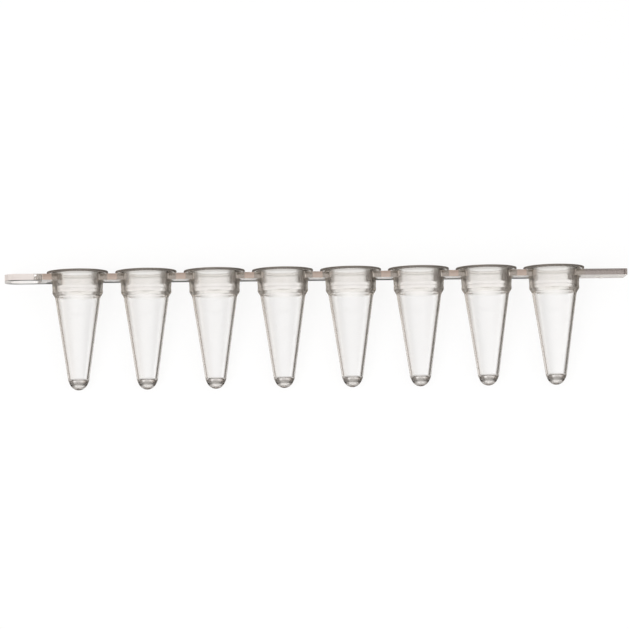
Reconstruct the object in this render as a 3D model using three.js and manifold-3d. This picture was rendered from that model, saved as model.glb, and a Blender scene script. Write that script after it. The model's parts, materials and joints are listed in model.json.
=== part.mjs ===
// A strip of eight low-profile PCR tubes, moulded in one piece in clear polypropylene.
// Millimetres and degrees. The strip is modelled standing, with the row along X, the mouths up at
// Z = 0 and the front at -Y. It is then laid on its back, as it comes to rest on a bench.
// A "drop" is a distance down from the face of the rims.

import * as THREE from 'three';
import { mergeVertices } from 'three/addons/utils/BufferGeometryUtils.js';
import Module from 'manifold-3d';

const wasm = await Module();
wasm.setup();

// The row, spaced to drop into a 96-well block.
const tubeCount = 8;
const tubePitch = 9;
const tubeHeight = 15.65;

// The mouth: a plug seat with a small lead-in, and a small step below it.
const mouthDiameter = 5.5;
const mouthLeadIn = 0.12;
const seatTaper = 0.6;
const seatDrop = 2.36;
const seatStep = 0.05;

// The rim is a thin flat lip that a cap or a film seals on. The neck below it is the stiff ring
// that the web joins, and it ends in a low bead and a shoulder.
const neckWall = 0.67;
const rimOverhang = 0.61;
const rimThickness = 0.26;
const neckTaper = 3.4;
const neckDrop = 2.45;
const beadHeight = 0.03;
const beadLength = 0.4;
const beadEase = 0.08;
const shoulderDrop = 3.42;

// The cone that sits in the block, and the blunt nose that closes it. The nose is solid, up to a
// flat floor with a round corner.
const coneDiameter = 5.94;
const coneWall = 0.31;
const noseDiameter = 2.73;
const noseTaper = 29;
const noseRadius = 1.23;
const noseBlend = 0.3;
const floorThickness = 1.25;
const floorCorner = 0.3;

// The web that joins the necks, and the tab at each end of it.
const webDrop = 0.5;
const webThickness = 0.8;
const webDepth = 3.9;
const webFillet = 0.8;
const tabReach = 9.55;
const plainTabDepth = 4.3;
const plainTabCorner = 0.35;
const ringTabDepth = 5.3;
const ringTabCorner = 1.5;

// The finger hole in the ring tab, and what is left of the tab round it.
const holeDepth = 3.5;
const holeToRim = 0.62;
const holeToEnd = 0.7;

// The stub of the gate, under the plain tab.
const gateDiameter = 0.6;
const gateHeight = 0.12;
const gateReach = 6.4;
const gateOffset = 1.1;

// How finely the round shapes are faceted.
const tubeFacets = 24;
const cornerSteps = 3;
const blendSteps = 2;
const filletSteps = 2;
const holeSteps = 3;
const gateFacets = 12;

const quarterTurn = Math.PI / 2;
const rowHalf = (tubeCount - 1) * tubePitch / 2;
const webBottom = webDrop + webThickness;
const neckTop = mouthDiameter / 2 + neckWall;
const rimRadius = neckTop + rimOverhang;
const tabEnd = rowHalf + tabReach;

const slope = (degrees) => Math.tan(THREE.MathUtils.degToRad(degrees));
const sectionPoint = (radius, drop) => new THREE.Vector2(radius, -drop);

// The nose's steep cone starts here and runs on until it touches the nose's round end.
const noseDrop = tubeHeight - noseRadius
  - (noseDiameter / 2 - noseRadius * Math.hypot(1, slope(noseTaper))) / slope(noseTaper);
const coneAngle = Math.atan2((coneDiameter - noseDiameter) / 2, noseDrop - shoulderDrop);

// Radius of the neck at a drop.
function neckRadius(drop) {
  return neckTop - (drop - rimThickness) * slope(neckTaper);
}

// Radius of the outside of the cone at a drop.
function coneRadius(drop) {
  return coneDiameter / 2 - (drop - shoulderDrop) * Math.tan(coneAngle);
}

// A round corner of a section, from where it touches a taper down to its lowest point, which is
// this far from the axis.
function roundCorner(bottomDrop, fromAxis, radius, taperAngle) {
  const points = [];
  for (let step = 0; step <= cornerSteps; step++) {
    const angle = (quarterTurn - taperAngle) * (1 - step / cornerSteps);
    points.push(sectionPoint(fromAxis + radius * Math.sin(angle), bottomDrop - radius * (1 - Math.cos(angle))));
  }
  return points;
}

// Rounds the corner between two straight runs of a section.
function blendCorner(before, corner, after) {
  const cut = Math.min(noseBlend, corner.distanceTo(after) / 2);
  const start = corner.clone().add(before.clone().sub(corner).setLength(cut));
  const end = corner.clone().add(after.clone().sub(corner).setLength(cut));
  return new THREE.QuadraticBezierCurve(start, corner, end).getPoints(blendSteps);
}

// Half section of the outside of a tube, from the middle of the mouth to the tip.
function outerSection() {
  const neckLow = neckRadius(neckDrop);
  const coneTop = sectionPoint(coneDiameter / 2, shoulderDrop);
  const noseTop = sectionPoint(noseDiameter / 2, noseDrop);
  const tip = roundCorner(tubeHeight, 0, noseRadius, THREE.MathUtils.degToRad(noseTaper));
  return [
    sectionPoint(0, 0),
    sectionPoint(rimRadius, 0),
    sectionPoint(rimRadius, rimThickness),
    sectionPoint(neckTop, rimThickness),
    sectionPoint(neckLow, neckDrop),
    sectionPoint(neckLow + beadHeight, neckDrop + beadEase),
    sectionPoint(neckLow + beadHeight, neckDrop + beadLength),
    coneTop,
    ...blendCorner(coneTop, noseTop, tip[0]),
    ...tip,
  ];
}

// Half section of the inside of a tube, from above the mouth to the floor.
function cavitySection() {
  const mouth = mouthDiameter / 2;
  const seatLow = mouth - (seatDrop - mouthLeadIn) * slope(seatTaper);
  const floorDrop = tubeHeight - floorThickness;
  const floorRadius = coneRadius(floorDrop) - coneWall;
  const flatRadius = floorRadius - floorCorner * (1 - Math.sin(coneAngle)) / Math.cos(coneAngle);
  return [
    sectionPoint(0, -mouthLeadIn),
    sectionPoint(mouth + 2 * mouthLeadIn, -mouthLeadIn),
    sectionPoint(mouth, mouthLeadIn),
    sectionPoint(seatLow, seatDrop),
    sectionPoint(seatLow - seatStep, seatDrop + seatStep),
    sectionPoint(coneDiameter / 2 - coneWall, shoulderDrop),
    ...roundCorner(floorDrop, flatRadius, floorCorner, coneAngle),
    sectionPoint(0, floorDrop),
  ];
}

// A solid from a three.js geometry with a closed surface.
function toSolid(geometry) {
  const bare = geometry.clone();
  bare.deleteAttribute('normal');
  bare.deleteAttribute('uv');
  const merged = mergeVertices(bare, 1e-5);
  const vertProperties = new Float32Array(merged.attributes.position.array);
  const triVerts = new Uint32Array(merged.index.array);
  return new wasm.Manifold(new wasm.Mesh({ numProp: 3, vertProperties, triVerts }));
}

// A three.js geometry from a solid.
function toGeometry(solid) {
  const { vertProperties, triVerts } = solid.getMesh();
  const geometry = new THREE.BufferGeometry();
  geometry.setAttribute('position', new THREE.BufferAttribute(vertProperties, 3));
  geometry.setIndex(new THREE.BufferAttribute(triVerts, 1));
  geometry.computeVertexNormals();
  return geometry;
}

// A half section turned round the Z axis.
function revolve(section) {
  const upward = [...section].reverse();
  return toSolid(new THREE.LatheGeometry(upward, tubeFacets).rotateX(quarterTurn));
}

// An outline seen from above, made solid from one drop to another.
function extrude(outline, topDrop, bottomDrop, curveSegments) {
  const options = { depth: bottomDrop - topDrop, bevelEnabled: false, curveSegments };
  return toSolid(new THREE.ExtrudeGeometry(outline, options).translate(0, 0, -bottomDrop));
}

// A solid repeated along the row, once for each tube.
function inEachPlace(solid) {
  let row = solid.translate([-rowHalf, 0, 0]);
  for (let tube = 1; tube < tubeCount; tube++) {
    row = row.add(solid.translate([tube * tubePitch - rowHalf, 0, 0]));
  }
  return row;
}

// Adds the fillet between the web's edge and one side of a neck. The side is -1 before the neck and
// 1 after it, for an edge that runs along +X, or along -X when the whole edge is turned half round.
function addFillet(outline, turn, neckPlace, side, halfDepth) {
  const facing = Math.cos(turn);
  const neck = neckRadius(webBottom);
  const centreDepth = halfDepth + webFillet;
  const alongRow = Math.sqrt((neck + webFillet) ** 2 - centreDepth ** 2);
  const atWeb = quarterTurn + turn;
  const atNeck = atWeb + side * Math.atan2(alongRow, centreDepth);
  const centreX = facing * (neckPlace + side * alongRow);
  const [start, end] = side < 0 ? [atWeb, atNeck] : [atNeck, atWeb];
  outline.absarc(centreX, -facing * centreDepth, webFillet, start, end, true);
}

// Adds one long edge of the web, which runs into each neck and out again through its fillets.
function addLongEdge(outline, turn, firstTabDepth, lastTabDepth) {
  for (let tube = 0; tube < tubeCount; tube++) {
    const neckPlace = tube * tubePitch - rowHalf;
    const depthBefore = tube === 0 ? firstTabDepth : webDepth;
    const depthAfter = tube === tubeCount - 1 ? lastTabDepth : webDepth;
    addFillet(outline, turn, neckPlace, -1, depthBefore / 2);
    addFillet(outline, turn, neckPlace, 1, depthAfter / 2);
  }
}

// Adds the end of a tab with its two round corners.
function addTabEnd(outline, turn, depth, corner) {
  const facing = Math.cos(turn);
  const centreX = facing * (tabEnd - corner);
  const centreY = facing * (depth / 2 - corner);
  outline.absarc(centreX, -centreY, corner, turn - quarterTurn, turn, false);
  outline.absarc(centreX, centreY, corner, turn, turn + quarterTurn, false);
}

// The web and both tabs, in one outline seen from above.
function webOutline() {
  const outline = new THREE.Shape();
  addLongEdge(outline, 0, ringTabDepth, plainTabDepth);
  addTabEnd(outline, 0, plainTabDepth, plainTabCorner);
  addLongEdge(outline, Math.PI, plainTabDepth, ringTabDepth);
  addTabEnd(outline, Math.PI, ringTabDepth, ringTabCorner);
  return outline;
}

// The finger hole: a slot with round ends, between the end tube's rim and the end of the ring tab.
function holeOutline() {
  const left = holeToEnd - tabEnd;
  const right = -rowHalf - rimRadius - holeToRim;
  const corner = Math.min(holeDepth, right - left) / 2;
  const cornerY = holeDepth / 2 - corner;
  const outline = new THREE.Shape();
  outline.absarc(right - corner, -cornerY, corner, -quarterTurn, 0, false);
  outline.absarc(right - corner, cornerY, corner, 0, quarterTurn, false);
  outline.absarc(left + corner, cornerY, corner, quarterTurn, 2 * quarterTurn, false);
  outline.absarc(left + corner, -cornerY, corner, 2 * quarterTurn, 3 * quarterTurn, false);
  return outline;
}

// The stub that is left where the plastic flowed into the mould.
function gateStub() {
  const height = gateHeight + webThickness / 2;
  const geometry = new THREE.CylinderGeometry(gateDiameter / 2, gateDiameter / 2, height, gateFacets);
  geometry.rotateX(quarterTurn);
  geometry.translate(rowHalf + gateReach, gateOffset, height / 2 - webBottom - gateHeight);
  return toSolid(geometry);
}

// The whole moulding, standing.
function moulding() {
  const web = extrude(webOutline(), webDrop, webBottom, filletSteps);
  const hole = extrude(holeOutline(), webDrop - webThickness, webBottom + webThickness, holeSteps);
  const tubes = inEachPlace(revolve(outerSection()));
  const cavities = inEachPlace(revolve(cavitySection()));
  return web.subtract(hole).add(gateStub()).add(tubes).subtract(cavities);
}

// How far the mouths rise when the strip lies on its back, on the rims and the noses.
function restAngle() {
  const below = outerSection().filter((point) => -point.y > rimThickness);
  return Math.min(...below.map((point) => Math.atan2(rimRadius - point.x, -point.y - rimThickness)));
}

const clearPolypropylene = new THREE.MeshStandardMaterial({
  color: 0xe9e7e3,
  roughness: 0.22,
  metalness: 0,
  transparent: true,
  opacity: 0.4,
});

const strip = new THREE.Mesh(toGeometry(moulding()), clearPolypropylene);
strip.name = 'tube_strip';
strip.rotation.x = restAngle() - quarterTurn;

// The origin is the middle of the footprint, on the surface that the strip lies on.
const laid = new THREE.Group();
laid.add(strip);
const box = new THREE.Box3().setFromObject(laid, true);
const middle = box.getCenter(new THREE.Vector3());
strip.position.set(-middle.x, -middle.y, -box.min.z);

export default laid;
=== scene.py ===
import functools
import json
import math

import bmesh
import bpy
from mathutils import Matrix, Vector


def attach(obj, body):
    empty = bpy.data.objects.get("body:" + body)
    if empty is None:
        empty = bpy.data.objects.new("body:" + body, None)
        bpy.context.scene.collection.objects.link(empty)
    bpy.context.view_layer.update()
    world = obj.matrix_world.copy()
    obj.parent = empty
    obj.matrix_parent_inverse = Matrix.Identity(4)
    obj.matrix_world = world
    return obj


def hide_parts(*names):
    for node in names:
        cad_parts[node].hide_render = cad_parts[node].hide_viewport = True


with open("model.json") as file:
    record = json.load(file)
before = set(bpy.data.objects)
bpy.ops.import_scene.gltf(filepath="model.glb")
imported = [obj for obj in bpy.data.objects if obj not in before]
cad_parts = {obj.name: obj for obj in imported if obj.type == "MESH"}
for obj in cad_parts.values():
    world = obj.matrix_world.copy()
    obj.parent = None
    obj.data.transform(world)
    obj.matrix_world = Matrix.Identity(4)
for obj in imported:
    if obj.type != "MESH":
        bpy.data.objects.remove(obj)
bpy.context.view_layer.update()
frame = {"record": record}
print("frame loaded")

millimetre = 0.001

# the strip is modelled standing, in millimetres, with its row along X and its rims at Z = 0;
# the face of the rims, which the record gives, then says how it lies
rimFace = next(m for m in frame["record"]["mounts"] if m["name"] == "rim_seal")
mouthWay = Vector(rimFace["axis"])
rowWay = Vector((1, 0, 0))
lying = Matrix((rowWay, mouthWay.cross(rowWay), mouthWay)).transposed().to_4x4()
lying.translation = Vector((0, rimFace["pos_m"][1], rimFace["pos_m"][2]))
lying = lying @ Matrix.Scale(millimetre, 4)


# the camera looks at the strip's front from a little below its rims, so nearly straight down
view = {
    "underRims": 6.0,  # degrees that the camera is below the rims' plane
    "towardsRing": 4.0,  # degrees round towards the ring tab
    "roll": 1.03,  # degrees
    "distance": 570,  # mm
    "seenWidth": 82.9,  # mm of the strip's length in the picture
    "aimDrop": 5.976,  # mm below the rims that the camera aims at
    "aimAlong": -0.37,  # mm along the row
    "clip": (0.01, 10),  # metres
}


def addCamera(v):
    under, turn = math.radians(v["underRims"]), math.radians(v["towardsRing"])
    back = Vector((-math.sin(turn) * math.cos(under), -math.cos(turn) * math.cos(under), -math.sin(under)))
    aim = Vector((v["aimAlong"], 0, -v["aimDrop"]))
    data = bpy.data.cameras.new("camera")
    data.lens = data.sensor_width * v["distance"] / v["seenWidth"]
    data.clip_start, data.clip_end = v["clip"]
    camera = bpy.data.objects.new("camera", data)
    bpy.context.scene.collection.objects.link(camera)
    backWorld = (lying.to_3x3() @ back).normalized()
    right = mouthWay.cross(backWorld).normalized()
    up = backWorld.cross(right)
    facing = Matrix((right, up, backWorld)).transposed().to_4x4()
    camera.matrix_world = (
        Matrix.Translation(lying @ (aim + back * v["distance"]))
        @ facing
        @ Matrix.Rotation(math.radians(-v["roll"]), 4, "Z")
    )
    bpy.context.scene.camera = camera


addCamera(view)
print("camera placed")


# the moulding's sizes, in millimetres where a note says nothing else; a drop is counted down from the
# face of the rims
strip = {
    "tubes": 8,
    "pitch": 9.0,
    "height": 15.65,
    "mouth": 5.5,  # diameter
    "mouthLead": 0.12,  # slant at the mouth's edge
    "seatTaper": 0.6,  # degrees
    "seatDrop": 2.36,
    "seatStep": 0.05,
    "neckWall": 0.67,
    "rimOver": 0.61,  # how far the rim stands out from the neck
    "rimThick": 0.26,
    "rimRound": 0.07,
    "neckTaper": 3.4,  # degrees
    "neckDrop": 2.45,
    "beadHigh": 0.03,
    "beadLong": 0.4,
    "beadEase": 0.08,
    "shoulderDrop": 3.42,
    "shoulderRound": 0.1,
    "coneTop": 5.94,  # diameter
    "coneWall": 0.31,
    "noseTop": 2.73,  # diameter
    "noseTaper": 29,  # degrees
    "noseTip": 1.23,  # radius
    "noseBlend": 0.3,
    "floorThick": 1.25,
    "floorCorner": 0.3,
    "webDrop": 0.5,
    "webThick": 0.8,
    "webDepth": 3.9,
    "webFillet": 0.8,
    "webRound": 0.07,
    "tabReach": 9.55,  # from the middle of the last tube to the tab's end
    "plainTabDepth": 4.3,
    "plainTabCorner": 0.35,
    "ringTabDepth": 5.3,
    "ringTabCorner": 1.5,
    "holeDepth": 3.5,
    "holeToRim": 0.62,
    "holeToEnd": 0.7,
    "gateEnds": (0.26, 0.32),  # radius at its free end and inside the web
    "gateHigh": 0.12,
    "gateReach": 6.4,  # from the middle of the last tube
    "gateOffset": 1.1,  # behind the row's middle
    "halfTurnSteps": 48,  # faces round half a tube
    "arcSteps": 10,  # faces along a nose or floor
    "filletSteps": 6,  # faces round a fillet or a corner of the ring tab
    "cornerSteps": 4,  # faces round a corner of the plain tab
    "gateSides": 24,
    "roundFrom": 40,  # degrees between two faces from which a web edge is rounded
    "creaseFrom": 50,  # degrees from which an edge is shaded as a crease
    "faceWeight": 60,  # how much large faces lead the shading
}
near = 1e-4  # mm within which two places are the same
weld = 1e-5  # mm within which vertices are merged


def slope(degrees):
    return math.tan(math.radians(degrees))


def neckRadius(s, drop):
    return s["mouth"] / 2 + s["neckWall"] - (drop - s["rimThick"]) * slope(s["neckTaper"])


def isLevel(v, drop):
    return abs(v.co.z + drop) < near


def joined(bm, a, b):
    return bm.edges.new((a, b))


def swept(bm, start, centre, degrees, steps, axis=(0, 0, 1)):
    # carries one vertex round an arc, and returns the vertices of the arc in order
    made = bmesh.ops.spin(
        bm, geom=[start], cent=centre, axis=axis, angle=math.radians(degrees), steps=steps
    )
    last = next(g for g in made["geom_last"] if isinstance(g, bmesh.types.BMVert))
    chain = [last]
    while chain[-1] is not start:
        before = chain[-2] if len(chain) > 1 else None
        chain.append(next(
            o for e in chain[-1].link_edges for o in [e.other_vert(chain[-1])] if o is not before
        ))
    return chain[::-1]


def addLine(bm, start, points):
    # straight runs from a vertex through (radius, drop) points
    chain = [start]
    for radius, drop in points:
        chain.append(bm.verts.new((radius, 0, -drop)))
        joined(bm, chain[-2], chain[-1])
    return chain[1:]


def roundCorners(bm, corners, offset, segments=3):
    bmesh.ops.bevel(
        bm, geom=corners, offset=offset, offset_type="OFFSET", segments=segments, profile=0.5,
        affect="VERTICES", clamp_overlap=True, material=-1,
    )


def addSection(bm, s):
    # half section of a tube's wall: from the middle of the floor up inside, over the rim, down to the tip
    across = (0, 1, 0)
    noseSlope = slope(s["noseTaper"])
    noseDrop = s["height"] - s["noseTip"] - (
        s["noseTop"] / 2 - s["noseTip"] * math.hypot(1, noseSlope)
    ) / noseSlope
    coneAngle = math.atan2((s["coneTop"] - s["noseTop"]) / 2, noseDrop - s["shoulderDrop"])
    floorDrop = s["height"] - s["floorThick"]
    floorWide = s["coneTop"] / 2 - (floorDrop - s["shoulderDrop"]) * math.tan(coneAngle) - s["coneWall"]
    floorFlat = floorWide - s["floorCorner"] * (1 - math.sin(coneAngle)) / math.cos(coneAngle)
    mouth = s["mouth"] / 2
    seatLow = mouth - (s["seatDrop"] - s["mouthLead"]) * slope(s["seatTaper"])
    neckTop = mouth + s["neckWall"]
    rim = neckTop + s["rimOver"]
    neckLow = neckRadius(s, s["neckDrop"])
    bead = neckLow + s["beadHigh"]

    floorMiddle = bm.verts.new((0, 0, -floorDrop))
    addLine(bm, floorMiddle, [(floorFlat, floorDrop)])
    floorArc = swept(
        bm, bm.verts.new((floorFlat, 0, -floorDrop)), (floorFlat, 0, s["floorCorner"] - floorDrop),
        math.degrees(coneAngle) - 90, s["arcSteps"], across,
    )
    inside = addLine(bm, floorArc[-1], [
        (s["coneTop"] / 2 - s["coneWall"], s["shoulderDrop"]),
        (seatLow - s["seatStep"], s["seatDrop"] + s["seatStep"]),
        (seatLow, s["seatDrop"]),
        (mouth, s["mouthLead"]),
        (mouth + s["mouthLead"], 0),
    ])
    outside = addLine(bm, inside[-1], [
        (rim, 0),
        (rim, s["rimThick"]),
        (neckTop, s["rimThick"]),
        (neckRadius(s, s["webDrop"]), s["webDrop"]),
        (neckRadius(s, s["webDrop"] + s["webThick"]), s["webDrop"] + s["webThick"]),
        (neckLow, s["neckDrop"]),
        (bead, s["neckDrop"] + s["beadEase"]),
        (bead, s["neckDrop"] + s["beadLong"]),
        (s["coneTop"] / 2, s["shoulderDrop"]),
        (s["noseTop"] / 2, noseDrop),
    ])
    tipStart = bm.verts.new((0, 0, -s["height"]))
    tipArc = swept(
        bm, tipStart, (0, 0, s["noseTip"] - s["height"]), s["noseTaper"] - 90, s["arcSteps"], across
    )
    joined(bm, outside[-1], tipArc[-1])
    # the nose, the shoulder inside and out, the seat, the rim's edge, under the rim, and the bead
    roundCorners(bm, [outside[-1]], s["noseBlend"])
    roundCorners(bm, [inside[0], outside[8], outside[7]], s["shoulderRound"])
    roundCorners(bm, inside[1:5], s["seatStep"] / 2, segments=2)
    roundCorners(bm, outside[:2], s["rimRound"])
    roundCorners(bm, [outside[2]], s["rimRound"])
    roundCorners(bm, [outside[6]], s["beadEase"] / 3, segments=2)


def spunTube(bm, s, place):
    # half a tube, from the ring tab's side round the front to the plain tab's side
    seen = set(bm.verts)
    addSection(bm, s)
    section = [v for v in bm.verts if v not in seen]
    bmesh.ops.rotate(bm, verts=section, cent=(0, 0, 0), matrix=Matrix.Rotation(math.pi, 3, "Z"))
    edges = list({e for v in section for e in v.link_edges})
    bmesh.ops.spin(
        bm, geom=section + edges, cent=(0, 0, 0), axis=(0, 0, 1), angle=math.pi, steps=s["halfTurnSteps"]
    )
    tube = [v for v in bm.verts if v not in seen]
    bmesh.ops.remove_doubles(bm, verts=tube, dist=weld)
    tube = [v for v in bm.verts if v not in seen]
    bmesh.ops.translate(bm, verts=tube, vec=(place, 0, 0))
    return tube


def around(v, place):
    # degrees of a vertex round a tube, from the plain tab's side through the front
    return math.degrees(math.atan2(abs(v.co.y), v.co.x - place))


def neckRing(tube, s, place, drop):
    radius = neckRadius(s, drop)
    ring = [
        v for v in tube
        if isLevel(v, drop) and abs(math.hypot(v.co.x - place, v.co.y) - radius) < 10 * near
    ]
    return sorted(ring, key=lambda v: around(v, place))


def openNeck(bm, s, tube, place, side, halfDepth):
    # opens the neck where the web joins it on one side, 1 towards the plain tab and -1 towards the ring
    # tab, and returns the vertices where the fillet starts, at the web's top and bottom, and their angle
    low = s["webDrop"] + s["webThick"]
    radius, fillet = neckRadius(s, low), s["webFillet"]
    touch = math.degrees(math.asin((halfDepth + fillet) / (radius + fillet)))
    step = 180 / s["halfTurnSteps"]
    index = round(touch / step)
    starts = []
    for drop in (s["webDrop"], low):
        ring = neckRing(tube, s, place, drop)
        if side < 0:
            ring = ring[::-1]
        turn = math.radians(index * step - touch) * side
        bmesh.ops.rotate(
            bm, verts=[ring[index]], cent=(place, 0, 0), matrix=Matrix.Rotation(turn, 3, "Z")
        )
        starts.append(ring[index])
        inner = set(ring[: index + 1])
        if drop == low:
            doomed = [
                f for f in {f for v in ring[:index] for f in v.link_faces}
                if sum(v in inner for v in f.verts) == 2 and f.calc_center_median().z > -low
            ]
            bmesh.ops.delete(bm, geom=doomed, context="FACES")
    return starts, touch


def filletArc(bm, s, start, place, side, halfDepth, touch):
    reach = neckRadius(s, s["webDrop"] + s["webThick"]) + s["webFillet"]
    centre = (
        place + side * reach * math.cos(math.radians(touch)), -halfDepth - s["webFillet"], start.co.z
    )
    return swept(bm, start, centre, side * (touch - 90), s["filletSteps"])


def raisedEdge(bm, s, chain, welds):
    # raises a wall from a chain of the web's lower edge, and welds its ends to the upper ring
    before = set(bm.verts)
    edges = [e for a, b in zip(chain, chain[1:]) for e in a.link_edges if e.other_vert(a) is b]
    bmesh.ops.extrude_edge_only(bm, edges=edges)
    raised = [v for v in bm.verts if v not in before]
    bmesh.ops.translate(bm, verts=raised, vec=(0, 0, s["webThick"]))
    bmesh.ops.weld_verts(bm, targetmap={
        min(raised, key=lambda v, goal=goal: (v.co - goal.co).length): goal for goal in welds
    })


def lineTo(bm, chain, x, y):
    chain.append(bm.verts.new((x, y, chain[-1].co.z)))
    joined(bm, chain[-2], chain[-1])
    return chain


def fillBetween(bm, s, start, end):
    # caps the web's top and bottom over one stretch of the row: closes the middle line, and fills
    for drop in (s["webDrop"], s["webDrop"] + s["webThick"]):
        level = [
            e for e in bm.edges
            if len(e.link_faces) == 1
            and all(isLevel(v, drop) and start - near < v.co.x < end + near for v in e.verts)
        ]
        ends = [v for v in {v for e in level for v in e.verts} if sum(e in level for e in v.link_edges) == 1]
        ends.sort(key=lambda v: v.co.x)
        for a, b in zip(ends[::2], ends[1::2]):
            level.append(joined(bm, a, b))
        bmesh.ops.contextual_create(bm, geom=level)


def modelStrip(s):
    bm = bmesh.new()
    rowHalf = (s["tubes"] - 1) * s["pitch"] / 2
    tabEnd = rowHalf + s["tabReach"]
    low = s["webDrop"] + s["webThick"]
    necks = []
    for number in range(s["tubes"]):
        place = number * s["pitch"] - rowHalf
        tube = spunTube(bm, s, place)
        depths = {
            -1: s["ringTabDepth"] if number == 0 else s["webDepth"],
            1: s["plainTabDepth"] if number == s["tubes"] - 1 else s["webDepth"],
        }
        neck = {}
        for side, depth in depths.items():
            (upper, lower), touch = openNeck(bm, s, tube, place, side, depth / 2)
            neck[side] = {
                "place": place, "upper": upper,
                "fillet": filletArc(bm, s, lower, place, side, depth / 2, touch),
            }
        necks.append(neck)
    print("tubes spun")

    for before, after in zip(necks, necks[1:]):
        left, right = before[1], after[-1]
        joined(bm, left["fillet"][-1], right["fillet"][-1])
        raisedEdge(bm, s, left["fillet"] + right["fillet"][::-1], (left["upper"], right["upper"]))
        fillBetween(bm, s, left["place"], right["place"])

    # the plain tab
    neck = necks[-1][1]
    corner, half = s["plainTabCorner"], s["plainTabDepth"] / 2
    chain = lineTo(bm, neck["fillet"], tabEnd - corner, -half)
    chain += swept(bm, chain[-1], (tabEnd - corner, corner - half, -low), 90, s["cornerSteps"])[1:]
    chain = lineTo(bm, chain, tabEnd, 0)
    raisedEdge(bm, s, chain, (neck["upper"],))
    fillBetween(bm, s, neck["place"], tabEnd)

    # the ring tab, and its finger hole
    neck = necks[0][-1]
    corner, half = s["ringTabCorner"], s["ringTabDepth"] / 2
    chain = lineTo(bm, neck["fillet"], corner - tabEnd, -half)
    chain += swept(bm, chain[-1], (corner - tabEnd, corner - half, -low), -90, s["filletSteps"])[1:]
    chain = lineTo(bm, chain, -tabEnd, 0)
    raisedEdge(bm, s, chain, (neck["upper"],))
    rim = s["mouth"] / 2 + s["neckWall"] + s["rimOver"]
    left, right = s["holeToEnd"] - tabEnd, -rowHalf - rim - s["holeToRim"]
    end = min(s["holeDepth"], right - left) / 2
    chain = swept(bm, bm.verts.new((right, 0, -low)), (right - end, 0, -low), -90, s["arcSteps"])
    chain = lineTo(bm, chain, left + end, -end)
    chain += swept(bm, chain[-1], (left + end, 0, -low), -90, s["arcSteps"])[1:]
    raisedEdge(bm, s, chain, ())
    fillBetween(bm, s, -tabEnd, neck["place"])
    print("web and tabs joined")

    # the front half is done, and the back half is its mirror image
    whole = bm.verts[:] + bm.edges[:] + bm.faces[:]
    bmesh.ops.mirror(bm, geom=whole, matrix=Matrix.Identity(4), merge_dist=near, axis="Y")
    bmesh.ops.remove_doubles(bm, verts=bm.verts[:], dist=weld)
    bmesh.ops.recalc_face_normals(bm, faces=bm.faces[:])
    return bm


def roundWeb(bm, s):
    drops = (s["webDrop"], s["webDrop"] + s["webThick"])
    edges = [
        e for e in bm.edges
        if any(all(isLevel(v, drop) for v in e.verts) for drop in drops)
        and e.calc_face_angle(0) > math.radians(s["roundFrom"])
    ]
    bmesh.ops.bevel(
        bm, geom=edges, offset=s["webRound"], offset_type="OFFSET", segments=2, profile=0.5,
        affect="EDGES", clamp_overlap=True, material=-1,
    )


def gateStub(s):
    bm = bmesh.new()
    free, buried = s["gateEnds"]
    bmesh.ops.create_cone(
        bm, cap_ends=True, segments=s["gateSides"], radius1=free, radius2=buried, depth=2 * s["gateHigh"]
    )
    place = (s["tubes"] - 1) * s["pitch"] / 2 + s["gateReach"]
    under = s["webDrop"] + s["webThick"]
    bmesh.ops.translate(bm, verts=bm.verts[:], vec=(place, s["gateOffset"], -under))
    return bm


def asObject(bm, name):
    mesh = bpy.data.meshes.new(name)
    bm.to_mesh(mesh)
    bm.free()
    made = bpy.data.objects.new(name, mesh)
    bpy.context.scene.collection.objects.link(made)
    return made


def settle(thing):
    # applies a piece's modifiers
    graph = bpy.context.evaluated_depsgraph_get()
    rough = thing.data
    thing.data = bpy.data.meshes.new_from_object(thing.evaluated_get(graph))
    thing.data.name = thing.name
    thing.modifiers.clear()
    bpy.data.meshes.remove(rough)


def makeStrip(s):
    bm = modelStrip(s)
    roundWeb(bm, s)
    body = asObject(bm, "tubeStrip")
    stub = asObject(gateStub(s), "gateStub")
    union = body.modifiers.new("gate", "BOOLEAN")
    union.operation = "UNION"
    union.solver = "EXACT"
    union.object = stub
    settle(body)
    bpy.data.objects.remove(stub)
    body.data.shade_smooth()
    body.data.set_sharp_from_angle(angle=math.radians(s["creaseFrom"]))
    weights = body.modifiers.new("weights", "WEIGHTED_NORMAL")
    weights.keep_sharp = True
    weights.weight = s["faceWeight"]
    settle(body)
    body.data.transform(lying)
    return body


body = makeStrip(strip)
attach(body, "root")
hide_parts("tube_strip")
print("strip finished", len(body.data.polygons), "faces")


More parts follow.
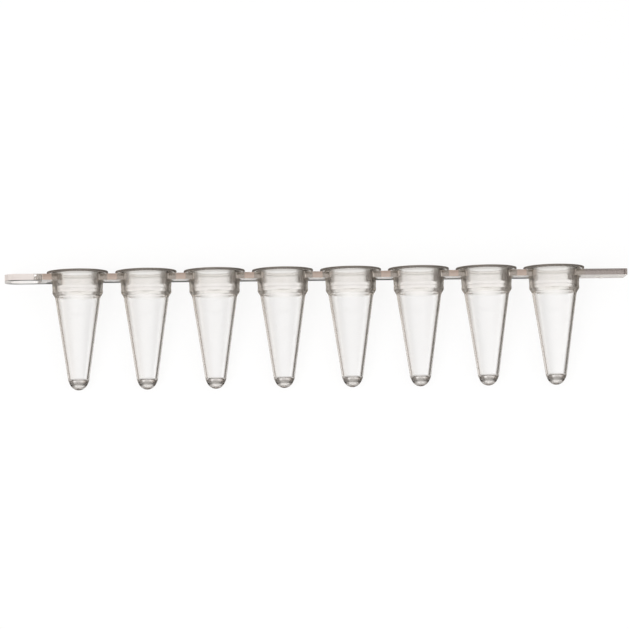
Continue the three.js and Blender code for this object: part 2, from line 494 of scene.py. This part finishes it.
# the plastic's finish
polypropylene = {
    "bend": 1.49,
    "gloss": 0.1,
    "glossVaries": 0.03,
    "absorb": 75.0,  # per metre
    "absorbColour": (0.39, 0.18, 0.0),
    "shadow": (0.86, 0.85, 0.84),
    # what a ray keeps at each face of the wall; on the neck and nose sides, under the rim, round the nose,
    # on the upright faces and under the web it is painted shade
    "clear": (1.0, 1.0, 1.0),
    "glancing": (0.7, 0.68, 0.65),  # along a tube's outline
    "glancingLow": 0.6,  # how much of it is left low on the cone
    "neck": (0.996, 0.995, 0.994),
    # painted shade down the sides of the necks and on the cones, darker on the side away from the ring tab
    "neckSide": (0.28, 0.26, 0.235),
    "neckSideFrom": (0.16, 0.1),  # where it starts, on the ring tab's side and on the other
    "neckSideSpan": 0.15,
    "neckSideEdge": 0.65,  # how much of it is left at the outline
    "neckSideLeft": 0.78,  # how much of it is on the ring tab's side, where the painted shade is lighter as if the light came from there
    "neckSideShare": (0.79, 0.74, 0.58, 0.25),  # beside the web, under it, from the bead down, on the cone
    "grooveLater": 0.1,  # how much later it starts from the bead down
    "shoulderSooner": 0.06,
    "neckTop": (0.945, 0.945, 0.94),
    # painted shade on the neck's outer wall just under the rim
    "underRim": (0.78, 0.77, 0.76),
    # painted shade on the sides of the noses, darker on the side away from the ring tab
    "noseSide": (0.34, 0.33, 0.32),
    "noseRightEdge": 0.6,  # how much of it is left at the outline
    "noseLeftShare": (0.15, 0.72),  # how much of it is on the ring tab's side, high and low, where it is painted lighter as if the light came from there
    # a painted dark band round each nose near the tip
    "noseBand": (0.52, 0.51, 0.5),
    "edgeFace": (0.85, 0.8, 0.77),  # painted shade on the narrow upright faces of the web, tabs and rims
    "webUnder": (0.16, 0.17, 0.17),  # painted shade on the back of the web's underside
    "webUnderFrom": 0.45,  # mm behind the row's middle where that painted shade starts
    "ringUnderFrom": 1.7,
    # share of milky haze, and its colour; the tan and dark colours on the upright faces of the web, plain
    # tab and rims, and beside the necks, are painted shade
    "hazeCone": 0.004,
    "hazeNeck": 0.05,
    "hazeNeckTop": 0.08,
    "hazeTip": 0.36,
    "hazeTabUnder": 0.35,
    "hazeEdge": 0.6,
    "hazeRim": 0.8,
    "hazeRing": 0.8,
    "hazeSpeck": 0.35,
    "milkThrough": 0.5,  # share of the milky part's light that comes through it
    "milk": (0.86, 0.82, 0.78),
    "webFaceShade": (0.43, 0.32, 0.26),
    # painted shadow of the rim on the web's faces next to each neck
    "rimShadowNearNeck": (0.17, 0.155, 0.13),
    "plainTabFaceShade": (0.15, 0.135, 0.14),
    "rimEdgeShade": (0.17, 0.152, 0.135),
    "milkRing": (0.84, 0.78, 0.76),
    "milkTip": (1.0, 0.98, 0.96),
    # detail
    "cloudSize": 1.6,  # mm
    "cloudDetail": 4.0,
    "cloudShare": 0.6,  # of the haze
    "waveSize": 2.2,  # mm
    "waveDetail": 1.0,
    "waveHeight": 0.004,  # mm
    "speckSize": 0.05,  # mm
    "speckCore": 0.6,  # share of a speck's size that is fully milky
    "speckSpacing": 1.1,  # mm
}

# where one look fades into the next, as start and end: in mm from the place that the code gives, or
# from the rims' face or the row's middle, and as shares where a fade follows the way a face points
fades = {
    "upright": (0.8, 0.5),
    "flat": (0.6, 0.8),
    "sideways": (-0.2, 0.2),
    "wallMiddle": (-0.05, 0.05),
    "web": (0.2, 0.35),
    "webTop": (-0.05, 0.0),
    "webBottom": (0.05, 0.0),
    "frontTurned": (0.35, 0.2),  # the web's front face between two necks
    "frontFromTube": (1.6, 1.9),
    "ring": (0.1, -0.1),
    "nearNeck": (0.4, 0.2),
    "plainTab": (1.0, 2.0),
    "ringSides": (2.0, 2.3),
    "ringEnd": (0.85, 0.55),
    "ringEdge": (-0.9, -1.2),
    "rimBelow": (0.1, 0.05),
    "rimAbove": (0.01, 0.03),
    "rimOuter": (-0.35, -0.25),
    "neckTop": (0.05, -0.05),
    "underRim": (0.65, 0.4),
    "groove": (2.0, 2.15),
    "shoulder": (3.25, 3.35),
    "neck": (0.15, -0.15),
    "neckSide": ((1.1, 1.4), (1.9, 2.2), (3.5, 3.7)),
    "neckSideEdge": (0.45, 0.75),
    "coneLow": (5.0, 8.0),
    "outline": (0.28, 0.7),
    "nose": (0.02, 0.08),
    "noseRight": (0.65, 0.45),
    "noseRightFacing": (0.07, 0.3),
    "noseRightEdge": (0.4, 0.6),
    "noseLeft": (0.85, 0.7),
    "noseLeftTurned": (-0.3, -0.56),
    "noseLeftLow": (14.75, 14.95),
    "noseBandTop": (14.6, 14.95),
    "noseBandBottom": (15.11, 15.01),
    "tipTop": (0.56, 0.7),
    "tipBottom": (0.93, 0.83),
    "tabStart": (0.2, -0.2),
    "underside": (0.06, 0.03),
    "shade": (-0.1, 0.1),
    "webUnder": (0.5, 0.75),
    "cloud": (0.3, 0.7),
}
noseHigh = 1.2  # mm from the tip up to where the cone's taper is taken to end


def nodesOf(name):
    made = bpy.data.materials.new(name)
    made.use_nodes = True
    tree = made.node_tree
    tree.nodes.clear()
    return made, tree


def feed(tree, socket, given):
    # links a socket to another one, or sets its own value
    if isinstance(given, bpy.types.NodeSocket):
        tree.links.new(given, socket)
    elif socket.type == "RGBA":
        socket.default_value = (*given, 1)
    else:
        socket.default_value = given


def node(tree, kind, **inputs):
    # makes a node and feeds its inputs, by name, or by number as i0, i1 and so on
    made = tree.nodes.new(kind)
    for key, given in inputs.items():
        feed(tree, made.inputs[int(key[1:]) if key[1:].isdigit() else key], given)
    return made


def remap(tree, value, fromMin, fromMax, toMin, toMax, smooth=True):
    made = node(tree, "ShaderNodeMapRange", Value=value)
    made.interpolation_type = "SMOOTHSTEP" if smooth else "LINEAR"
    for name, given in zip(("From Min", "From Max", "To Min", "To Max"), (fromMin, fromMax, toMin, toMax)):
        feed(tree, made.inputs[name], given)
    return made.outputs["Result"]


def calculate(tree, kind, a, b=0.0, clamp=False):
    made = node(tree, "ShaderNodeMath", i0=a, i1=b)
    made.operation = kind
    made.use_clamp = clamp
    return made.outputs[0]


def blend(tree, share, a, b, kind="MIX"):
    # mixes two colours
    made = tree.nodes.new("ShaderNodeMix")
    made.data_type = "RGBA"
    made.blend_type = kind
    for number, given in ((0, share), (6, a), (7, b)):
        feed(tree, made.inputs[number], given)
    return made.outputs[2]


def component(tree, way, axis):
    # how far a direction goes along an axis
    made = node(tree, "ShaderNodeVectorMath", i0=way, i1=tuple(axis))
    made.operation = "DOT_PRODUCT"
    return made.outputs["Value"]


def alongStrip(tree, axis):
    # millimetres along one of the standing strip's own axes
    place = tree.nodes.new("ShaderNodeTexCoord").outputs["Object"]
    back = lying.inverted()
    return calculate(tree, "ADD", component(tree, place, back[axis].xyz), back[axis][3])


def stripMasks(tree, m, s):
    # where a point is on the strip, as shares from 0 to 1
    calc = functools.partial(calculate, tree)
    size = lambda value: calc("ABSOLUTE", value)
    both = lambda *shares: functools.reduce(lambda a, b: calc("MULTIPLY", a, b), shares)
    rest = lambda share: calc("SUBTRACT", 1.0, share)

    def step(value, key, start=0.0):
        # goes from 0 to 1 over one of the fades, which is counted from the start given
        return remap(tree, value, start + fades[key][0], start + fades[key][1], 0, 1)

    along, behind, high = (alongStrip(tree, axis) for axis in range(3))
    drop = calc("MULTIPLY", high, -1.0)
    rowHalf = (s["tubes"] - 1) * s["pitch"] / 2
    neckLow, under = neckRadius(s, s["neckDrop"]), s["webDrop"] + s["webThick"]
    rimEdge = s["mouth"] / 2 + s["neckWall"] + s["rimOver"]
    holeEnd = -rowHalf - rimEdge - s["holeToRim"]
    floorDrop = s["height"] - s["floorThick"]
    fromFirst = calc("ADD", along, rowHalf)
    number = calc("ROUND", calc("DIVIDE", fromFirst, s["pitch"]))
    number = calc("MINIMUM", calc("MAXIMUM", number, 0.0), s["tubes"] - 1.0)
    fromTube = calc("SUBTRACT", fromFirst, calc("MULTIPLY", number, s["pitch"]))
    radius = calc("SQRT", calc("ADD", calc("POWER", fromTube, 2.0), calc("POWER", behind, 2.0)))
    geometry = tree.nodes.new("ShaderNodeNewGeometry")
    level = size(component(tree, geometry.outputs["Normal"], mouthWay))
    turned = component(tree, geometry.outputs["Normal"], rowWay)
    sideways = step(turned, "sideways")
    outside = rest(geometry.outputs["Backfacing"])
    upright = both(step(level, "upright"), outside)
    masks = {}

    # the web, the tabs and the rims
    onWeb = step(radius, "web", neckLow)
    webFront = both(step(size(turned), "frontTurned"), step(size(fromTube), "frontFromTube"))
    inWeb = both(step(drop, "webTop", s["webDrop"]), step(drop, "webBottom", under))
    inRing = step(along, "ring", holeEnd)
    masks["webEdge"] = both(calc("MAXIMUM", onWeb, webFront), inWeb, upright, rest(inRing))
    # where the rim's painted shadow falls on the web beside each neck
    masks["nearNeck"] = step(radius, "nearNeck", rimEdge)
    masks["plainTab"] = step(along, "plainTab", rowHalf)
    ringEnd = step(along, "ringEnd", -rowHalf - s["tabReach"])
    ringOutline = calc("MAXIMUM", step(size(behind), "ringSides"), ringEnd)
    masks["ringEdge"] = both(inWeb, upright, ringOutline, step(along, "ringEdge", holeEnd))
    inRim = both(step(drop, "rimBelow", s["rimThick"]), step(drop, "rimAbove"))
    masks["rimEdge"] = both(inRim, step(radius, "rimOuter", rimEdge), outside)
    ringTab = step(along, "tabStart", -rowHalf - rimEdge)
    # painted shade on the back of the web's underside, and on both bars of the ring tab's underside
    back = calc("MAXIMUM", behind, calc("MULTIPLY", size(behind), inRing))
    back = calc("SUBTRACT", back, remap(tree, ringTab, 0, 1, m["webUnderFrom"], m["ringUnderFrom"]))
    atUnder = step(size(calc("SUBTRACT", drop, under)), "underside")
    underside = both(atUnder, step(level, "flat"), onWeb, outside)
    masks["shade"] = both(underside, step(back, "shade"), rest(masks["plainTab"]))
    masks["tabUnder"] = both(underside, masks["plainTab"])

    # the noses
    nose = both(step(drop, "nose", floorDrop), outside)
    # painted shade on each nose's sides, lighter high up on the ring tab's side, and a painted dark band
    # round it
    masks["noseRight"] = both(nose, sideways, step(level, "noseRight"))
    lower = remap(tree, drop, *fades["noseLeftLow"], *m["noseLeftShare"])
    masks["noseLeft"] = both(nose, step(turned, "noseLeftTurned"), lower, step(level, "noseLeft"))
    masks["noseBand"] = both(nose, step(drop, "noseBandTop"), step(drop, "noseBandBottom"))
    masks["tip"] = both(nose, step(level, "tipTop"), step(level, "tipBottom"))

    # the outer side of the necks and cones
    narrowing = (s["coneTop"] - s["noseTop"]) / 2 / (s["height"] - noseHigh - s["shoulderDrop"])
    wallMiddle = calc("MULTIPLY", calc("SUBTRACT", drop, s["shoulderDrop"]), -narrowing)
    wallMiddle = calc("ADD", wallMiddle, s["coneTop"] / 2 - s["coneWall"] / 2)
    wallMiddle = calc("MINIMUM", wallMiddle, s["mouth"] / 2 + s["neckWall"] / 2)
    outerSide = step(calc("SUBTRACT", radius, wallMiddle), "wallMiddle")
    masks["outerWall"] = both(outerSide, rest(nose), rest(onWeb), rest(masks["webEdge"]))
    # painted shade under the rim
    masks["underRim"] = both(step(drop, "underRim"), masks["outerWall"], outside)
    masks["neck"] = step(drop, "neck", s["shoulderDrop"])
    masks["neckTop"] = both(step(drop, "neckTop", under), rest(onWeb))
    masks["low"] = step(drop, "coneLow")
    shoulder = step(drop, "shoulder")
    groove = both(step(drop, "groove"), rest(shoulder))
    first = remap(tree, sideways, 0, 1, *m["neckSideFrom"], False)
    first = calc("ADD", first, calc("MULTIPLY", groove, m["grooveLater"]))
    masks["neckSideFrom"] = calc("SUBTRACT", first, calc("MULTIPLY", shoulder, m["shoulderSooner"]))
    share = m["neckSideShare"][0]
    for ends, following in zip(fades["neckSide"], m["neckSideShare"][1:]):
        share = remap(tree, drop, *ends, share, following)
    # painted shade down the sides of the necks, lighter on the ring tab's side
    onLeft = remap(tree, sideways, 0, 1, m["neckSideLeft"], 1, False)
    masks["neckSide"] = both(masks["outerWall"], outside, share, onLeft)
    return masks


def glassTint(tree, m, at):
    # what a ray keeps where it crosses a face, with painted shade multiplied in where the masks say
    calc = functools.partial(calculate, tree)
    facing = node(tree, "ShaderNodeLayerWeight", Blend=0.5).outputs["Facing"]

    def atSlant(key, seenStraight, seenAlong, smooth=True):
        # goes from one share to the other as the face turns away
        return remap(tree, facing, *fades[key], seenStraight, seenAlong, smooth)

    outline = calc("MULTIPLY", atSlant("outline", 0, 1, False), at["outerWall"])
    outline = calc("MULTIPLY", outline, remap(tree, at["low"], 0, 1, 1, m["glancingLow"]))
    neckSide = remap(tree, calc("SUBTRACT", facing, at["neckSideFrom"]), 0, m["neckSideSpan"], 0, 1)
    neckSide = calc("MULTIPLY", neckSide, atSlant("neckSideEdge", 1, m["neckSideEdge"]))
    noseRight = calc("MULTIPLY", atSlant("noseRightFacing", 0, 1, False), at["noseRight"])
    noseRight = calc("MULTIPLY", noseRight, atSlant("noseRightEdge", 1, m["noseRightEdge"]))
    shares = {
        "neck": calc("MULTIPLY", at["neck"], calc("SUBTRACT", 1.0, at["neckTop"])),
        "neckTop": at["neckTop"],
        "neckSide": calc("MULTIPLY", calc("MULTIPLY", neckSide, at["neckSide"]), at["neck"]),
        "underRim": at["underRim"],
        "glancing": outline,
        "noseBand": at["noseBand"],
        "noseSide": calc("MAXIMUM", noseRight, at["noseLeft"]),
        "edgeFace": calc("MAXIMUM", calc("MAXIMUM", at["webEdge"], at["rimEdge"]), at["ringEdge"]),
        "webUnder": calc("MULTIPLY", at["shade"], atSlant("webUnder", 0, 1)),
    }
    tint = m["clear"]
    for name, share in shares.items():
        tint = blend(tree, share, tint, m[name], "MULTIPLY")
    return tint


def milkiness(tree, m, at, cloud, place):
    # how much of the light the milky haze takes, and the haze's colour, which on the upright faces of the
    # web, plain tab and rims is painted tan and dark shade
    calc = functools.partial(calculate, tree)
    cells = node(tree, "ShaderNodeTexVoronoi", Vector=place, Scale=1 / (m["speckSpacing"] * millimetre))
    size = m["speckSize"] / m["speckSpacing"]
    speck = remap(tree, cells.outputs["Distance"], size, size * m["speckCore"], 0, 1)
    haze = remap(tree, at["neck"], 0, 1, m["hazeCone"], m["hazeNeck"])
    haze = calc("ADD", haze, calc("MULTIPLY", at["neckTop"], m["hazeNeckTop"] - m["hazeNeck"]))
    varied = remap(tree, cloud, *fades["cloud"], 1 - m["cloudShare"], 1 + m["cloudShare"], False)
    haze = calc("MULTIPLY", haze, varied)
    hazy = {
        "tip": "hazeTip", "tabUnder": "hazeTabUnder", "webEdge": "hazeEdge", "rimEdge": "hazeRim",
        "ringEdge": "hazeRing",
    }
    for mask, share in hazy.items():
        haze = calc("MAXIMUM", haze, calc("MULTIPLY", at[mask], m[share]))
    haze = calc("MAXIMUM", haze, calc("MULTIPLY", speck, m["hazeSpeck"]))
    # painted tan and dark shade on the upright faces of the web and plain tab
    web = blend(tree, at["plainTab"], m["webFaceShade"], m["plainTabFaceShade"])
    # the rim's painted shadow on the web beside each neck
    web = blend(tree, at["nearNeck"], web, m["rimShadowNearNeck"])
    milk = blend(tree, at["webEdge"], m["milk"], web)
    # the rims' outer edges take painted dark shade
    for mask, colour in (("rimEdge", "rimEdgeShade"), ("ringEdge", "milkRing"), ("tip", "milkTip")):
        milk = blend(tree, at[mask], milk, m[colour])
    return haze, milk


def noise(tree, place, size, detail):
    made = node(tree, "ShaderNodeTexNoise", Vector=place, Scale=1 / (size * millimetre), Detail=detail)
    return made.outputs[0]


def clearPlastic(m, s):
    made, tree = nodesOf("clearPolypropylene")
    at = stripMasks(tree, m, s)
    place = tree.nodes.new("ShaderNodeTexCoord").outputs["Object"]
    cloud = noise(tree, place, m["cloudSize"], m["cloudDetail"])
    wave = noise(tree, place, m["waveSize"], m["waveDetail"])
    bump = node(tree, "ShaderNodeBump", Height=wave, Distance=m["waveHeight"] * millimetre)
    haze, milk = milkiness(tree, m, at, cloud, place)
    glossEnds = m["gloss"] - m["glossVaries"], m["gloss"] + m["glossVaries"]
    gloss = remap(tree, cloud, *fades["cloud"], *glossEnds, False)
    glass = node(
        tree, "ShaderNodeBsdfGlass", Color=glassTint(tree, m, at), Roughness=gloss, IOR=m["bend"],
        Normal=bump.outputs[0],
    )
    front = node(tree, "ShaderNodeBsdfDiffuse", Color=milk)
    back = node(tree, "ShaderNodeBsdfTranslucent", Color=milk)
    cloudy = node(tree, "ShaderNodeMixShader", i0=m["milkThrough"], i1=front.outputs[0], i2=back.outputs[0])
    look = node(tree, "ShaderNodeMixShader", i0=haze, i1=glass.outputs[0], i2=cloudy.outputs[0])
    shadow = tree.nodes.new("ShaderNodeLightPath").outputs["Is Shadow Ray"]
    through = node(tree, "ShaderNodeBsdfTransparent", Color=m["shadow"])
    surface = node(tree, "ShaderNodeMixShader", i0=shadow, i1=look.outputs[0], i2=through.outputs[0])
    depth = node(tree, "ShaderNodeVolumeAbsorption", Color=m["absorbColour"], Density=m["absorb"])
    out = tree.nodes.new("ShaderNodeOutputMaterial")
    tree.links.new(surface.outputs[0], out.inputs["Surface"])
    tree.links.new(depth.outputs[0], out.inputs["Volume"])
    return made


body.data.materials.clear()
body.data.materials.append(clearPlastic(polypropylene, strip))
print("material made")


# the bench that the strip lies on
bench = {
    "across": 1.6,  # metres
    "colour": (0.93, 0.93, 0.93),
    "glow": 0.96,  # brightness of the bench as the camera sees it
    "glowColour": (1.0, 1.0, 1.0),
    "lit": 0.12,  # share of the bench that takes light and shadow
}


def addFloor(b):
    # the camera sees the bench, and rays that the strip has bent pass through it to the light below
    bm = bmesh.new()
    bmesh.ops.create_grid(bm, x_segments=1, y_segments=1, size=b["across"] / 2)
    floor = asObject(bm, "floor")
    made, tree = nodesOf("paleBench")
    path = tree.nodes.new("ShaderNodeLightPath").outputs
    bent = calculate(tree, "ADD", path["Glossy Depth"], path["Transmission Depth"], True)
    matt = node(tree, "ShaderNodeBsdfDiffuse", Color=b["colour"])
    glow = node(tree, "ShaderNodeEmission", Color=b["glowColour"], Strength=b["glow"])
    share = calculate(tree, "MULTIPLY", path["Is Camera Ray"], 1 - b["lit"])
    seen = node(tree, "ShaderNodeMixShader", i0=share, i1=matt.outputs[0], i2=glow.outputs[0])
    through = node(tree, "ShaderNodeBsdfTransparent", Color=(1.0, 1.0, 1.0))
    surface = node(tree, "ShaderNodeMixShader", i0=bent, i1=seen.outputs[0], i2=through.outputs[0])
    out = tree.nodes.new("ShaderNodeOutputMaterial")
    tree.links.new(surface.outputs[0], out.inputs["Surface"])
    floor.data.materials.append(made)


addFloor(bench)


# the studio's light
studio = {
    # what lies behind the strip, as its clear walls bend it: a light panel in the middle, dimmer
    # surroundings that differ from side to side, and a dark ring; angles are degrees from the middle
    "panel": (0.95, 0.95, 0.95),
    "panelLeft": (1.0, 0.985, 0.97),
    "panelRight": (1.12, 1.12, 1.12),
    "rimFrom": (1.0, 11.0),
    "left": (0.98, 0.92, 0.87),
    "right": (0.27, 0.25, 0.23),
    "leftFade": (18.0, 30.0),
    "rightFade": (17.0, 26.0),
    "darkLeft": (0.36, 0.33, 0.3),
    "darkRight": (0.14, 0.125, 0.11),
    "darkFrom": (35.0, 41.0),
    "above": (1.12, 1.12, 1.11),  # a light band over the panel, and what is higher still
    "aboveFrom": (9.0, 15.0),
    "high": (0.86, 0.86, 0.85),
    "highFrom": (19.0, 26.0),
    "upFrom": (0.25, 0.6),  # where they start and are full, from -1 at the bottom to 1 at the top
    "down": (0.6, 0.59, 0.58),
    "downFade": (3.0, 12.0),
    "downFrom": (-0.5, -0.9),
    "around": (0.8, 0.8, 0.8),  # far to every side
    "aroundFrom": (58.0, 70.0),
    "far": (0.93, 0.93, 0.93),  # for rays through two hollow walls and no mirroring
    "farFrom": (44.0, 52.0),
    "hollowDepth": 3.5,  # such a ray has crossed more faces than this
    "over": (0.22, 0.95),  # over the bench, at these two heights
    "overHeight": (0.3, 0.95),
    "horizon": (-0.1, 0.1),
    "bounces": 32,
    "lamps": [
        # name, direction it stands in (degrees round, degrees up), size and distance in metres, watts,
        # colour
        ("keyLamp", (-50, 50), 0.5, 0.8, 6.0, (1.0, 0.97, 0.94)),
        ("fillLamp", (60, 40), 0.5, 0.9, 2.5, (0.96, 0.98, 1.0)),
    ],
}


def addLamp(name, way, size, distance, watts, colour):
    data = bpy.data.lights.new(name, "AREA")
    data.shape = "DISK"
    data.size = size
    data.energy = watts
    data.color = colour
    lamp = bpy.data.objects.new(name, data)
    turn, rise = (math.radians(degrees) for degrees in way)
    toLamp = Vector((math.sin(turn) * math.cos(rise), -math.cos(turn) * math.cos(rise), math.sin(rise)))
    facing = toLamp.to_track_quat("Z", "Y").to_matrix().to_4x4()
    lamp.matrix_world = Matrix.Translation(toLamp * distance) @ facing
    lamp.visible_glossy = False
    lamp.visible_transmission = False
    bpy.context.scene.collection.objects.link(lamp)


def addWorld(w):
    world = bpy.data.worlds.new("studio")
    bpy.context.scene.world = world
    world.use_nodes = True
    tree = world.node_tree
    tree.nodes.clear()
    calc = functools.partial(calculate, tree)
    way = tree.nodes.new("ShaderNodeTexCoord").outputs["Generated"]
    # the studio is set out once, round the way the camera looks
    facing = bpy.context.scene.camera.matrix_world.to_3x3()
    right, up, behind = (facing @ Vector(axis) for axis in ((1, 0, 0), (0, 1, 0), (0, 0, -1)))
    off = calc("ARCCOSINE", component(tree, way, behind))
    across = calc("MAXIMUM", calc("SINE", off), 0.001)  # never 0, because it divides
    rightness = remap(tree, calc("DIVIDE", component(tree, way, right), across), -1, 1, 0, 1, False)
    upness = calc("DIVIDE", component(tree, way, up), across)
    fade = lambda key: remap(tree, off, *(math.radians(degrees) for degrees in w[key]), 0, 1)
    sideEnds = [
        remap(tree, rightness, 0, 1, math.radians(left), math.radians(right), False)
        for left, right in zip(w["leftFade"], w["rightFade"])
    ]
    panel = blend(tree, rightness, w["panelLeft"], w["panelRight"])
    panel = blend(tree, fade("rimFrom"), w["panel"], panel)
    side = blend(tree, rightness, w["left"], w["right"])
    low = blend(tree, remap(tree, off, *sideEnds, 0, 1), panel, side)
    low = blend(tree, fade("darkFrom"), low, blend(tree, rightness, w["darkLeft"], w["darkRight"]))
    above = blend(tree, fade("highFrom"), blend(tree, fade("aboveFrom"), w["panel"], w["above"]), w["high"])
    low = blend(tree, remap(tree, upness, *w["upFrom"], 0, 1), low, above)
    deep = blend(tree, fade("downFade"), panel, w["down"])
    low = blend(tree, remap(tree, upness, *w["downFrom"], 0, 1), low, deep)
    low = blend(tree, fade("aroundFrom"), low, w["around"])
    path = tree.nodes.new("ShaderNodeLightPath").outputs
    hollow = calc("GREATER_THAN", path["Transmission Depth"], w["hollowDepth"])
    hollow = calc("SUBTRACT", hollow, path["Glossy Depth"], True)
    low = blend(tree, calc("MULTIPLY", fade("farFrom"), hollow), low, w["far"])
    height = node(tree, "ShaderNodeSeparateXYZ", i0=way).outputs["Z"]
    over = remap(tree, height, *w["overHeight"], *w["over"])
    level = blend(tree, remap(tree, height, *w["horizon"], 0, 1), low, over)
    light = node(tree, "ShaderNodeBackground", Color=level, Strength=1.0)
    out = tree.nodes.new("ShaderNodeOutputWorld")
    tree.links.new(light.outputs[0], out.inputs["Surface"])


addWorld(studio)
for lamp in studio["lamps"]:
    addLamp(*lamp)
bpy.context.scene.view_settings.view_transform = "Standard"
cycles = bpy.context.scene.cycles
cycles.max_bounces = studio["bounces"]
cycles.glossy_bounces = studio["bounces"]
cycles.transmission_bounces = studio["bounces"]
print("floor and light set")
